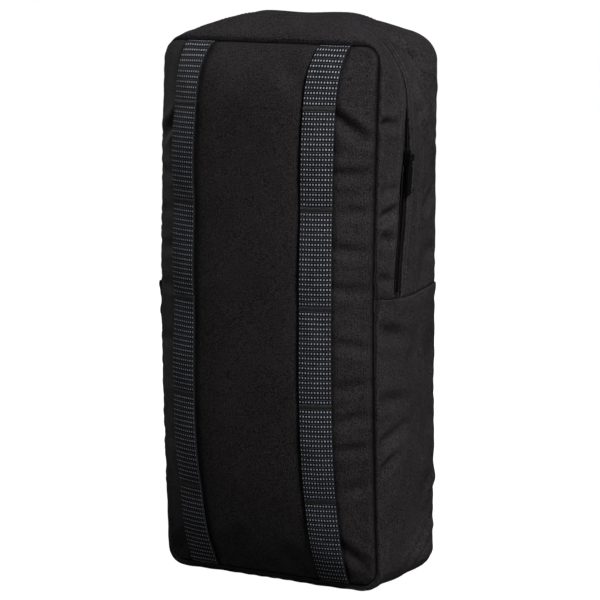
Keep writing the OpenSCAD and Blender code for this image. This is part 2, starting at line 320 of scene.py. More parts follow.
    def inset(self, x: Array, z: Array) -> tuple[Array, Array]:
        """Distance inside a panel's outline, a rounded rectangle, and the way out to it.

        Args:
            x: place across.
            z: height.

        Returns:
            The distance of each point, and the direction to the nearest outline.
        """
        qx = np.abs(x) - (self.panel_w / 2 - self.corner_r)
        qz = np.abs(z - self.mid_z) - (self.half_h - self.corner_r)
        out_x, out_z = np.clip(qx, 0, None), np.clip(qz, 0, None)
        length = np.hypot(out_x, out_z)
        d = self.corner_r - length - np.minimum(np.maximum(qx, qz), 0)
        safe = np.where(length > 1e-9, length, 1)
        gx = np.where(length > 1e-9, out_x / safe, qx > qz)
        gz = np.where(length > 1e-9, out_z / safe, qx <= qz)
        way = np.stack([gx * np.sign(x), 0 * gx, gz * np.sign(z - self.mid_z)], -1)
        return d, way


# ---- Folds, puckers and seams ----


FOLD_DEPTH = 2.2
RIPPLE_SEED, TACK_SEED = 7, 11


@dataclass(frozen=True)
class Crease:
    """A dent along a line on one face, in millimetres. A negative depth is a ridge.

    Its true depth is FOLD_DEPTH times the one given.
    """

    a: tuple[float, float]
    b: tuple[float, float]
    depth: float
    width: float

    def height(self, p: Array, q: Array) -> Array:
        """Height that the crease adds: a Gaussian dent with a low Gaussian shoulder on each side.

        Args:
            p: first coordinate of each point, in metres.
            q: second coordinate of each point, in metres.

        Returns:
            Height above the face, in metres.
        """
        ax, ay = np.array(self.a) * MM
        bx, by = np.array(self.b) * MM
        dx, dy = bx - ax, by - ay
        s = grown(((p - ax) * dx + (q - ay) * dy) / (dx * dx + dy * dy))
        d = np.hypot(p - ax - s * dx, q - ay - s * dy) / (self.width * MM)
        ends = 1 - 0.55 * (2 * s - 1) ** 2
        shoulder = 0.4 * np.exp(-((d - 1.9) ** 2) * 1.6)
        return -FOLD_DEPTH * self.depth * MM * ends * (np.exp(-d * d) - shoulder)

    def mirrored(self) -> Crease:
        """A shallower crease at the same place on the left, a little lower."""
        (ax, ay), (bx, by) = self.a, self.b
        return Crease((-ax, ay - 9), (-bx, by - 6), self.depth * 0.7, self.width)


SIDE_CREASES = (
    Crease((-51, 376), (-18, 371), 2.2, 4.0),
    Crease((-35, 322), (-11, 320), 0.9, 4.0),
    Crease((-48, 299), (-4, 308), 2.0, 4.2),
    Crease((-38, 285), (-12, 279), 1.6, 4.0),
    Crease((-48, 256), (-19, 247), 1.6, 4.0),
    Crease((16, 398), (27, 373), -1.5, 4.2),
    Crease((27, 373), (50, 340), -1.9, 5.2),
    Crease((5, 445), (30, 421), 1.6, 3.8),
    Crease((28, 421), (50, 382), 1.9, 5.0),
    Crease((27, 424), (52, 415), 1.4, 4.2),
    Crease((30, 300), (55, 318), 1.3, 5.0),
    Crease((36, 268), (56, 262), 1.1, 5.0),
    Crease((10, 452), (-30, 447), 1.0, 6.0),
    Crease((38, 62), (57, 84), -1.2, 4.5),
    Crease((54, 47), (33, 39), 1.6, 4.0),
    Crease((33, 39), (4, 16), 1.6, 4.2),
    Crease((56, 29), (21, 14), 1.4, 4.0),
    Crease((-40, 212), (-6, 203), 1.4, 5.5),
    Crease((-42, 226), (-20, 218), -0.8, 4.5),
    Crease((38, 196), (57, 150), 1.5, 7.0),
    Crease((-44, 158), (2, 152), 1.3, 5.5),
    Crease((-43, 120), (-8, 131), 1.5, 5.5),
    Crease((-44, 96), (-20, 108), 1.2, 4.5),
    Crease((30, 110), (56, 92), 0.9, 7.0),
)
PANEL_CREASES = (
    Crease((64, 386), (90, 363), 2.4, 4.6),
    Crease((63, 356), (70, 352), 1.6, 4.5),
    Crease((64, 335), (92, 336), 1.5, 4.2),
    Crease((79, 306), (94, 306), 1.2, 4.0),
    Crease((64, 279), (92, 275), 1.4, 4.4),
    Crease((64, 247), (92, 245), 1.2, 4.4),
    Crease((70, 205), (93, 200), 1.1, 4.2),
    Crease((72, 168), (93, 172), 1.0, 4.6),
    Crease((73, 140), (94, 147), 1.2, 4.2),
    Crease((74, 118), (94, 121), 1.1, 4.2),
    Crease((76, 84), (94, 92), 0.9, 5.0),
    Crease((20, 424), (44, 402), 0.9, 7.0),
    Crease((-20, 40), (-42, 22), 0.9, 7.0),
    Crease((66, 44), (88, 24), 1.0, 5.0),
)


def ripples(p: Array, height: float, longest: float) -> Array:
    """Slow unevenness of filled cloth: nine sine waves with seeded directions, summed.

    Args:
        p: points in metres, on the last axis.
        height: spread of the sum, in metres.
        longest: longest wavelength, in metres. The others go down to a third of it.

    Returns:
        Height at each point, in metres.
    """
    rng = np.random.default_rng(RIPPLE_SEED)
    ways = rng.normal(size=(9, 3))
    ways /= np.linalg.norm(ways, axis=1)[:, None]
    waves = longest / rng.uniform(1, 3, 9)
    turns = rng.uniform(0, 2 * math.pi, 9)
    return height * np.sin(p @ (ways * (2 * math.pi / waves)[:, None]).T + turns).sum(-1) / 3


def seam_dip(d: Array) -> Array:
    """How far cloth is pulled into a turned seam, at distance d from it."""
    return 3.1 * MM * bell(d, 1.7 * MM)


def seam_roll(d: Array, along: Array) -> Array:
    """The rolled edge beside a turned seam, with small puckers along it."""
    wave = np.sin(along / (2.3 * MM) + 2.6 * np.sin(along / (17 * MM)))
    pucker = 0.2 * MM * wave * bell(d - 5 * MM, 5 * MM)
    return 0.5 * MM * bell(d - 5.4 * MM, 2.6 * MM) + pucker


def seam_shade(d: Array) -> Array:
    """How much painted shade the cloth gets beside a turned seam, at distance d from it."""
    return bell(d, 1.4 * MM)


@dataclass(frozen=True)
class Cloth:
    """The sewn cloth laid on the form, with its seams and creases."""

    form: Form

    def gusset(self, path: Path, u: Array, t: Array, down: Array, foot: float) -> Array:
        """Points of a gusset strip at a distance below its outer face.

        Args:
            path: over the top or under the base.
            u: share of the way along.
            t: depth of each point.
            down: distance below the outer face, in metres.
            foot: height at which both legs end.

        Returns:
            The points, in metres.
        """
        p, n = self.form.run(path, u, t, foot)
        t, down = np.broadcast_to(t, p.shape[:-1]), np.broadcast_to(down, p.shape[:-1])
        laid = p + self.move(p, n, t) - n * down[..., None]
        laid[..., 2] = np.maximum(laid[..., 2], down)
        return laid

    def move(self, p: Array, n: Array, t: Array) -> Array:
        """How far the cloth at p moves from the form, with seams drawn in towards their tip.

        Args:
            p: points on the form.
            n: their normals.
            t: their depths.

        Returns:
            The moves, in metres.
        """
        front_d, rear_d = t * self.form.depth, (1 - t) * self.form.depth
        inside = np.minimum(front_d, rear_d)
        seam = seam_dip(front_d)[..., None] * (BACK - n) + seam_dip(rear_d)[..., None] * (-BACK - n)
        along = p[..., 0] + p[..., 2]
        out = seam_roll(front_d, along) + seam_roll(rear_d, along + 0.4)
        left = p[..., 0] < 0
        y = p[..., 1] - (self.form.front_y + PLAN_FRONT_Y)
        y = np.where(left, y * 0.9 - 4 * MM, y)
        z = np.where(left, p[..., 2] + 11 * MM, p[..., 2])
        above = z - self.form.fold_z
        from_zip = (t - self.form.zip_t) * self.form.depth
        from_mouth = np.abs(from_zip) - 6 * MM
        side = np.abs(n[..., 0]) * np.where(above > 0, grown(from_mouth / (8 * MM)), 1)
        side = side * grown(inside / (7 * MM) - 0.15) * np.where(left, 0.8, 1)
        for crease in SIDE_CREASES:
            out = out + side * crease.height(y, z)
        taut = np.where(above > -20 * MM, np.clip(1.6 - from_mouth / (9 * MM), 0, 0.7), 0)
        out = out + grown(inside / (12 * MM)) * (1 - taut) * ripples(p, 0.75 * MM, 90 * MM)
        out = out + grown(above / (20 * MM)) * self.flap_root(from_zip)
        roll = 4.6 * MM * grown(-n[..., 2]) * bell(front_d - 5.5 * MM, 3.6 * MM)
        return seam / math.sqrt(2) + n * out[..., None] - BACK * roll[..., None]

    def beside(self, side: float, t: Array, z: Array, out: Array) -> Array:
        """Points over one side of the gusset.

        Args:
            side: 1 for the right side, -1 for the left.
            t: depth of each point.
            z: height of each point.
            out: distance out from the cloth's face.

        Returns:
            The points, in metres.
        """
        p = np.stack([side * self.form.half_w(t) + 0 * z, self.form.gusset_y(t, z), z], -1)
        n = np.zeros_like(p)
        n[..., 0] = side
        return p + self.move(p, n, t) + n * out[..., None]

    def flap_root(self, from_zip: Array) -> Array:
        """Height of the ridge where the flap's fold is sewn in, with a dip behind it."""
        root = from_zip - self.form.mouth - self.form.flap_w
        ridge, dip = bell(root - 1 * MM, 2.8 * MM), bell(root - 10 * MM, 5 * MM)
        return 1.2 * MM * ridge - 0.8 * MM * dip

    def front(self, x: Array, z: Array, lift: Array | float, creased: bool = True) -> Array:
        """Points over the front panel.

        Args:
            x: place across.
            z: height.
            lift: distance above the outer face, in metres.
            creased: False for what lies straight over the creases.

        Returns:
            The points, in metres.
        """
        form, e = self.form, 0.2 * MM
        inside = np.clip(z, form.seam_low + e, form.seam_high - e)
        y = form.front_at(x, inside)
        slope_x = (form.front_at(x + e, inside) - form.front_at(x - e, inside)) / (2 * e)
        slope_z = (form.front_at(x, inside + e) - form.front_at(x, inside - e)) / (2 * e)
        slope_x, slope_z = np.clip(slope_x, -1.2, 1.2), np.clip(slope_z, -1.2, 1.2)
        n = np.stack([slope_x, -np.ones_like(y), slope_z], -1)
        n /= np.linalg.norm(n, axis=-1, keepdims=True)
        p = np.stack(np.broadcast_arrays(x, y, z), -1)
        d, way = form.inset(x, z)
        out = seam_roll(d, x + z) + grown(d / (12 * MM)) * ripples(p, 0.7 * MM, 150 * MM)
        if creased:
            fold = np.zeros_like(d)
            for crease in PANEL_CREASES:
                fold += crease.height(x, z) + crease.mirrored().height(x, z)
            clear = grown(np.abs(np.abs(x) - 59 * MM) / (4 * MM) - 3)
            out = out + np.where(fold > 0, fold * clear, fold)
        seam = seam_dip(d)[..., None] * (BACK - way) / math.sqrt(2)
        return p + seam + n * (out + lift)[..., None]

    def rear(self, x: Array, z: Array, lift: Array | float) -> Array:
        """Points over the rear panel.

        Args:
            x: place across.
            z: height.
            lift: distance above the outer face.

        Returns:
            The points, in metres.
        """
        form = self.form
        p = np.stack(np.broadcast_arrays(x, form.rear_at(x, z), z), -1)
        d, way = form.inset(x, z)
        out = seam_roll(d, x + z) + grown(d / (12 * MM)) * ripples(p, 0.6 * MM, 140 * MM)
        seam = seam_dip(d)[..., None] * (-BACK - way) / math.sqrt(2)
        return p + seam + (out + lift)[..., None] * BACK


# ---- Meshes ----


def mesh_object(
    name: str, verts: Array, faces: Array, uv: Array | None = None, painted_shade: Array | None = None,
) -> bpy.types.Object:
    """Makes a smooth mesh, and turns its faces outwards by the sign of its volume.

    Args:
        name: the piece's name.
        verts: points, one row each.
        faces: corner indices, one row of four each.
        uv: place of each point on the flat cloth, in metres.
        painted_shade: how much painted shade each point gets, from 0 to 1.

    Returns:
        The new object.
    """
    a, b, c, d = (verts[faces[:, i]] for i in range(4))
    if (a * (np.cross(b, c) + np.cross(c, d))).sum() < 0:
        faces = faces[:, ::-1]
    mesh = bpy.data.meshes.new(name)
    mesh.from_pydata(verts.tolist(), [], faces.tolist())
    if uv is not None:
        corner = np.empty(len(mesh.loops), np.int32)
        mesh.loops.foreach_get("vertex_index", corner)
        layer = mesh.uv_layers.new(name="flat")
        layer.data.foreach_set("uv", uv[corner].astype(np.float32).ravel())
    # The painted shade is kept as a point attribute, which the cloth's material reads to darken its
    # colour.
    if painted_shade is not None:
        layer = mesh.attributes.new("painted_shade", "FLOAT", "POINT")
        layer.data.foreach_set("value", painted_shade.astype(np.float32).ravel())
    mesh.polygons.foreach_set("use_smooth", np.ones(len(mesh.polygons), bool))
    mesh.validate()
    mesh.update()
    obj = bpy.data.objects.new(name, mesh)
    bpy.context.scene.collection.objects.link(obj)
    return obj


def tube_faces(rows: int, places: int) -> Array:
    """Faces of a tube: rows of places, each row closed round and joined to the next."""
    i, j = np.arange(rows - 1)[:, None] * places, np.arange(places)[None]
    wrap = (j + 1) % places
    return np.stack([i + j, i + wrap, i + places + wrap, i + places + j], -1).reshape(-1, 4)


def loft(name: str, grid: Array, uv: Array, painted_shade: Array | None = None) -> bpy.types.Object:
    """Closed solid from one loop of points carried along a line.

    Args:
        name: the piece's name.
        grid: points, as steps along by places round the loop by three.
        uv: flat place of each point, as steps by places by two.
        painted_shade: how much painted shade each point gets, as steps by places.

    Returns:
        The new object.
    """
    n, m = grid.shape[:2]
    k = np.arange(m // 2 - 1)
    cap = np.stack([k, m - 1 - k, m - 2 - k, k + 1], -1)
    faces = np.concatenate([tube_faces(n, m), cap, cap[:, ::-1] + (n - 1) * m])
    return mesh_object(name, grid.reshape(-1, 3), faces, uv.reshape(-1, 2), painted_shade)


@dataclass(frozen=True)
class Section:
    """Loop round a strip of cloth: place across from 0 to 1, reach past an edge, and depth."""

    across: Array
    reach: Array
    down: Array


def section(
    columns: int, thick: float, folded: tuple[bool, bool] = (False, False), top: float = 0.0,
    hem: float = 0.0, span: float = 1.0,
) -> Section:
    """Section of a strip with a half round along each folded edge.

    Args:
        columns: points across each face.
        thick: thickness of one ply.
        folded: whether the first and the last edge are folds, which doubles the ply there.
        top: depth of the outer face.
        hem: width of the doubled cloth behind a fold.
        span: width of the whole strip.

    Returns:
        The section, from the middle of the first edge round to it again.
    """
    across = (eased(columns, 0.45) + 1) / 2
    inner = np.full(columns, thick)
    for edge, fold in enumerate(folded):
        if fold:
            near = across if edge == 0 else 1 - across
            inner += thick * grown((hem - near * span) / MM + 1)

    def half_round(fold: bool) -> tuple[Array, Array]:
        """Reach and depth of the four points round a fold, or none at a cut edge."""
        turns = HALF_ROUND if fold else HALF_ROUND[:0]
        return thick * np.sin(turns), thick - thick * np.cos(turns)

    (first_out, first_down), (last_out, last_down) = (half_round(fold) for fold in folded)
    half, face = len(first_out) // 2, 0 * across
    parts = (
        (np.zeros(half), -first_out[:half][::-1], first_down[:half][::-1]),
        (across, face, face),
        (np.ones(len(last_out)), last_out, last_down),
        (across[::-1], face, inner[::-1]),
        (np.zeros(half), -first_out[half:][::-1], first_down[half:][::-1]),
    )
    place, reach, down = (np.concatenate(row) for row in zip(*parts))
    return Section(place, reach, down + top)


@dataclass(frozen=True)
class Stitch:
    """One visible length of thread, whose ends dive into the cloth by the sink."""

    length: float
    radius: float
    sink: float


TOPSTITCH = Stitch(2.7 * MM, 0.26 * MM, 0.3 * MM)
TACK = Stitch(2.6 * MM, 0.34 * MM, 0.5 * MM)
STITCH_PITCH = 3.6 * MM


def stitches(
    name: str, centres: Array, along: Array, up: Array, kind: Stitch,
) -> bpy.types.Object:
    """Many stitches as one mesh.

    Args:
        name: the piece's name.
        centres: middle of each stitch.
        along: its direction.
        up: the cloth's normal there.
        kind: the sizes of a stitch.

    Returns:
        The new object.
    """
    along = along / np.linalg.norm(along, axis=1, keepdims=True)
    up = up - along * np.einsum("ij,ij->i", along, up)[:, None]
    up /= np.linalg.norm(up, axis=1, keepdims=True)
    side = np.cross(along, up)
    place = np.array([-0.5, -0.4, -0.15, 0.15, 0.4, 0.5]) * kind.length
    fat = np.array([0.35, 0.85, 1.0, 1.0, 0.85, 0.35]) * kind.radius
    drop = np.array([1.0, 0.35, 0.0, 0.0, 0.35, 1.0]) * kind.sink
    turn = np.arange(6) * math.pi / 3
    ring = (
        side[:, None, None] * (fat[:, None] * np.cos(turn))[None, :, :, None]
        + up[:, None, None] * (fat[:, None] * np.sin(turn) - drop[:, None])[None, :, :, None]
    )
    verts = centres[:, None, None] + along[:, None, None] * place[None, :, None, None] + ring
    ends = np.array([[0, 5, 4, 3], [0, 3, 2, 1], [30, 31, 32, 33], [30, 33, 34, 35]])
    faces = np.concatenate([tube_faces(6, 6), ends])
    faces = (np.arange(len(centres))[:, None, None] * 36 + faces[None]).reshape(-1, 4)
    return mesh_object(name, verts.reshape(-1, 3), faces)


def along_line(line: Array, pitch: float) -> Array:
    """Places on a line at even steps of its length.

    Args:
        line: points of the line.
        pitch: distance between the places.

    Returns:
        Fractional index of each place into the line's points.
    """
    length = run_length(line)
    count = int(length[-1] / pitch)
    return np.interp((np.arange(count) + 0.5) * pitch, length, np.arange(len(line)))


def pick(values: Array, index: Array) -> Array:
    """Values at fractional indices, by straight lines between the rows."""
    low = np.clip(index.astype(int), 0, len(values) - 2)
    share = (index - low)[:, None]
    return values[low] * (1 - share) + values[low + 1] * share


def stitch_row(name: str, line: Array, up: Array) -> bpy.types.Object:
    """Row of topstitching along a line, given the cloth's normal at its points."""
    index = along_line(line, STITCH_PITCH)
    way = pick(np.gradient(line, axis=0), index)
    return stitches(name, pick(line, index), way, pick(up, index), TOPSTITCH)


# ---- Finishes ----


def linear(code: str) -> tuple[float, float, float, float]:
    """Converts an sRGB hex colour to linear values with an alpha of 1."""
    parts = [int(code[i : i + 2], 16) / 255 for i in (1, 3, 5)]
    r, g, b = ((c / 12.92) if c <= 0.04045 else ((c + 0.055) / 1.055) ** 2.4 for c in parts)
    return r, g, b, 1.0


class Graph:
    """Node tree of one material, built a node at a time."""

    def __init__(self, name: str) -> None:
        """Starts an empty tree.

        Args:
            name: the material's name.
        """
        self.material = bpy.data.materials.new(name)
        self.material.use_nodes = True
        self.tree = self.material.node_tree
        self.tree.nodes.clear()

    def add(self, kind: str, inputs: dict | None = None, **settings: object) -> bpy.types.Node:
        """Adds a node, with its settings, and its inputs as values or links.

        Args:
            kind: the node's type.
            inputs: a value, or a socket to link, for each input.
            settings: the node's own properties.

        Returns:
            The new node.
        """
        node = self.tree.nodes.new(kind)
        for key, value in settings.items():
            setattr(node, key, value)
        for key, value in (inputs or {}).items():
            if isinstance(value, bpy.types.NodeSocket):
                self.tree.links.new(value, node.inputs[key])
            else:
                node.inputs[key].default_value = value
        return node

    def flat(self) -> bpy.types.bpy_prop_collection:
        """Place on the flat cloth, as X and Y outputs in metres."""
        uv = self.add("ShaderNodeUVMap", uv_map="flat").outputs[0]
        return self.add("ShaderNodeSeparateXYZ", {0: uv}).outputs

    def math(self, operation: str, *values: object) -> bpy.types.NodeSocket:
        """Adds a math node over one to three values or sockets."""
        return self.add("ShaderNodeMath", dict(enumerate(values)), operation=operation).outputs[0]

    def noise(self, size: float, detail: float = 3, vector: object = None) -> bpy.types.NodeSocket:
        """Noise with features of a size in metres, in object coordinates unless told.

        Args:
            size: size of its largest features.
            detail: number of finer layers.
            vector: other coordinates.

        Returns:
            The noise, from 0 to 1.
        """
        where = vector or self.add("ShaderNodeTexCoord").outputs["Object"]
        node = self.add(
            "ShaderNodeTexNoise", {"Vector": where, "Scale": 1 / size, "Detail": detail}
        )
        return node.outputs["Fac"]

    def ramp(self, value: object, *stops: tuple[float, float]) -> bpy.types.NodeSocket:
        """Grey value through stops of (place, value).

        Args:
            value: what is looked up.
            stops: places, each with the grey found there.

        Returns:
            The grey found.
        """
        node = self.add("ShaderNodeValToRGB", {"Fac": value})
        elements = node.color_ramp.elements
        for place, _ in stops[2:]:
            elements.new(place)
        for element, (place, level) in zip(elements, sorted(stops)):
            element.position, element.color = place, (level, level, level, 1)
        return node.outputs["Color"]

    def mix(self, value: object, a: object, b: object) -> bpy.types.NodeSocket:
        """Colour between a and b."""
        node = self.add("ShaderNodeMix", {"Factor": value, 6: a, 7: b}, data_type="RGBA")
        return node.outputs[2]

    def bump(self, height: object, distance: float, normal: object = None) -> bpy.types.NodeSocket:
        """Bump of a height in metres, over another normal where one is given.

        Args:
            height: pattern from 0 to 1.
            distance: its full height, in metres.
            normal: the bump below it.

        Returns:
            The new normal.
        """
        inputs = {"Height": height, "Distance": distance, "Strength": 1.0}
        if normal is not None:
            inputs["Normal"] = normal
        return self.add("ShaderNodeBump", inputs).outputs["Normal"]

    def finish(self, inputs: dict) -> bpy.types.Material:
        """Adds the shader and the output."""
        shader = self.add("ShaderNodeBsdfPrincipled", inputs)
        self.add("ShaderNodeOutputMaterial", {"Surface": shader.outputs[0]})
        return self.material


@dataclass(frozen=True)
class CoatedNylon:
    """Plain-weave nylon, dyed in the piece, with a coating on its back and a little nap from wear.
    """

    name: str
    low: str
    high: str
    contrast: float
    yarn: float = 0.9 * MM
    roughness: float = 0.69
    # Colour of the painted shade: seams, the hem's top, the webbing's edges and inner faces.
    shadow: str = "#010101"

    def material(self) -> bpy.types.Material:
        """Weave of crossed half waves, mottled dye and faint scuffs, with painted shade mixed in
        towards the shadow colour where the mesh asks for it.

        Returns:
            The material.
        """
        g = Graph(self.name)
        flat = g.flat()
        turns = [g.math("MULTIPLY", flat[i], math.pi / self.yarn) for i in (0, 1)]
        weave = g.math("MULTIPLY", *(g.math("ABSOLUTE", g.math("SINE", turn)) for turn in turns))
        mottle, scuff, slub = g.noise(45 * MM, 4), g.noise(4 * MM, 4), g.noise(0.85 * MM, 1)
        tone = g.math("MULTIPLY_ADD", mottle, 0.15, g.math("MULTIPLY", slub, 0.75))
        tone = g.math("MULTIPLY_ADD", scuff, 0.1, tone)
        tone = g.math("ADD", tone, g.math("MULTIPLY", g.math("SUBTRACT", weave, 0.4), 0.2))
        fine = g.math("ADD", slub, g.math("MULTIPLY", scuff, 0.3))
        normal = g.bump(fine, 0.34 * MM, g.bump(weave, 0.14 * MM))
        spread = g.ramp(tone, (0.5 - self.contrast, 0), (0.5 + self.contrast, 1))
        dyed = g.mix(spread, linear(self.low), linear(self.high))
        # Painted shade: the point attribute mixes the dyed colour towards the shadow colour.
        painted_shade_level = g.add("ShaderNodeAttribute", attribute_name="painted_shade").outputs["Fac"]
        return g.finish({
            "Base Color": g.mix(g.math("MULTIPLY", painted_shade_level, 0.97), dyed, linear(self.shadow)),
            "Roughness": g.math("MULTIPLY_ADD", scuff, 0.18, self.roughness),
            "Specular IOR Level": 0.1,
            "Normal": normal,
        })


@dataclass(frozen=True)
class RibbedWebbing:
    """Heavy nylon webbing, woven in ribs across its width, with a row of binder picks on each."""

    name: str = "nylon_webbing"
    groove: str = "#010102"
    rib: str = "#b0b3be"
    selvedge: str = "#242529"
    repeat: float = 3.85 * MM
    binder: float = 2.3 * MM
    filament: float = 0.42 * MM
    half_w: float = Form.web_half

    def material(self) -> bpy.types.Material:
        """Ribs, binder picks and a plain selvedge, by place on the flat webbing.

        Returns:
            The material.
        """
        g = Graph(self.name)
        x, y, _ = g.flat()
        phase = g.math("FRACT", g.math("DIVIDE", y, self.repeat))
        rib = g.ramp(phase, (0.0, 0.02), (0.66, 0.01), (0.73, 0.07), (0.83, 0.07), (0.9, 0.01))
        window = g.ramp(phase, (0.1, 0.0), (0.22, 1.0), (0.38, 1.0), (0.5, 0.0))
        dot = g.math("COSINE", g.math("MULTIPLY", x, 2 * math.pi / self.binder))
        dot = g.ramp(g.math("MULTIPLY_ADD", dot, 0.5, 0.5), (0.56, 0.01), (0.94, 1))
        level = g.math("MAXIMUM", rib, g.math("MULTIPLY", dot, window))
        across = g.math("DIVIDE", g.math("ABSOLUTE", x), self.half_w)
        edge = g.ramp(across, (0.88, 0), (0.93, 0.35))
        level = g.math("MULTIPLY", level, g.math("MULTIPLY_ADD", g.noise(16 * MM), 0.7, 0.65))
        level = g.math("MULTIPLY", level, g.math("MULTIPLY_ADD", g.noise(1.6 * MM, 1), 1.6, 0.2))
        woven = g.mix(level, linear(self.groove), linear(self.rib))
        threads = g.math("SINE", g.math("MULTIPLY", x, 2 * math.pi / self.filament))
        normal = g.bump(threads, 0.03 * MM, g.bump(level, 0.22 * MM))
        return g.finish({
            "Base Color": g.mix(edge, woven, linear(self.selvedge)),
            "Roughness": g.math("MULTIPLY_ADD", g.noise(2 * MM), 0.15, 0.62),
            "Specular IOR Level": 0.04,
            "Normal": normal,
        })


@dataclass(frozen=True)
class WovenTape:
    """Narrow polyester tape in a herringbone twill, dyed black."""

    name: str
    low: str
    high: str
    twill: float = 0.9 * MM
    turn: float = 3.2 * MM

    def material(self) -> bpy.types.Material:
        """Slanted ribs that change direction every few millimetres.

        Returns:
            The material.
        """
        g = Graph(self.name)
        x, y, _ = g.flat()
        slant = g.math("ADD", x, g.math("PINGPONG", y, self.turn))
        wave = g.math("SINE", g.math("MULTIPLY", slant, 2 * math.pi / self.twill))
        rib = g.math("MULTIPLY_ADD", wave, 0.5, 0.5)
        tone = g.math("MULTIPLY_ADD", g.noise(4 * MM), 0.5, g.math("MULTIPLY", rib, 0.5))
        return g.finish({
            "Base Color": g.mix(tone, linear(self.low), linear(self.high)),
            "Roughness": g.math("MULTIPLY_ADD", rib, -0.1, 0.72),
            "Specular IOR Level": 0.35,
            "Sheen Weight": 0.08,
            "Normal": g.bump(rib, 0.12 * MM),
        })


@dataclass(frozen=True)
class Monofilament:
    """Extruded polyester, drawn and coiled hot, so it is smooth with faint draw lines."""

    name: str = "polyester_monofilament"
    low: str = "#050506"
    high: str = "#0e0e10"

    def material(self) -> bpy.types.Material:
        """Smooth black plastic with slight tone and gloss changes.

        Returns:
            The material.
        """
        g = Graph(self.name)
        fine, broad = g.noise(0.6 * MM, 2), g.noise(14 * MM, 2)
        return g.finish({
            "Base Color": g.mix(broad, linear(self.low), linear(self.high)),
            "Roughness": g.math("MULTIPLY_ADD", fine, 0.16, 0.3),
            "Specular IOR Level": 0.25,
            "Normal": g.bump(fine, 0.02 * MM),
        })


@dataclass(frozen=True)
class CoatedZinc:
    """Die-cast zinc, tumbled and stove-enamelled black, worn a little where it rubs."""

    name: str = "black_coated_zinc"
    coat: str = "#020203"
    worn: str = "#141416"

    def material(self) -> bpy.types.Material:
        """Satin enamel with orange peel and paler edges.

        Returns:
            The material.
        """
        g = Graph(self.name)
        edge = g.add("ShaderNodeNewGeometry").outputs["Pointiness"]
        grain, peel = g.noise(1.6 * MM, 5), g.noise(0.5 * MM, 3)
        edge, patch = g.ramp(edge, (0.52, 0), (0.6, 1)), g.ramp(grain, (0.5, 0), (0.62, 1))
        wear = g.math("MULTIPLY", g.math("MULTIPLY", edge, patch), 0.6)
        return g.finish({
            "Base Color": g.mix(wear, linear(self.coat), linear(self.worn)),
            "Roughness": g.math("MULTIPLY_ADD", grain, 0.22, 0.26),
            "Specular IOR Level": 0.22,
            "Normal": g.bump(peel, 0.03 * MM),
        })


@dataclass(frozen=True)
class BondedThread:
    """Bonded nylon sewing thread of three twisted strands, waxed for the machine."""

    name: str = "bonded_nylon_thread"
    low: str = "#0d0d0f"
    high: str = "#2d2d32"

    def material(self) -> bpy.types.Material:
        """Fine twist lines over two close tones.

        Returns:
            The material.
        """
        g = Graph(self.name)
        where = g.add("ShaderNodeTexCoord").outputs["Object"]
        lines = {"Vector": where, "Scale": 420.0, "Distortion": 1.5}
        twist = g.add("ShaderNodeTexWave", lines).outputs["Fac"]
        tone = g.math("MULTIPLY_ADD", g.noise(9 * MM), 0.5, g.math("MULTIPLY", twist, 0.5))
        return g.finish({
            "Base Color": g.mix(tone, linear(self.low), linear(self.high)),
            "Roughness": g.math("MULTIPLY_ADD", twist, 0.12, 0.42),
            "Specular IOR Level": 0.45,
            "Normal": g.bump(twist, 0.04 * MM),
        })


FINISHES = {
    "panel_cloth": CoatedNylon("coated_nylon_panel", "#030202", "#302d2e", 0.13),
    "gusset_cloth": CoatedNylon("coated_nylon_gusset", "#030303", "#373436", 0.12),
    "hem_cloth": CoatedNylon("coated_nylon_hem", "#030303", "#3a3739", 0.12),
    # The zip tape has darker tones than the binding: painted shade for the zip's mouth.
    "zip_tape": WovenTape("herringbone_zip_tape", "#030303", "#0c0c0d"),
    "zip_coil": Monofilament(),
    "black_metal": CoatedZinc(),
    "webbing": RibbedWebbing(),
    "thread": BondedThread(),
    # A darker copy of the thread for the bar tacks: painted shade on the tack rows, where the
    # webbing is pulled down.
    "tack_thread": BondedThread("bonded_tack_thread", "#040405", "#131316"),
    "binding": WovenTape("grosgrain_binding", "#0a0a0b", "#1a1a1c", 1.1 * MM, 40 * MM),
}


def paint(obj: bpy.types.Object, material: bpy.types.Material) -> None:
    """Gives an object one material."""
    obj.data.materials.clear()
    obj.data.materials.append(material)


# ---- Pieces ----


def steady(value: float) -> Callable[[Array], Array]:
    """An edge of a strip that keeps one depth t all the way along."""
    return lambda u: np.full_like(u, value)


class Lid(Enum):
    """Which side of the zip a piece belongs to."""

    BODY = "pouch"
    LID = "lid"


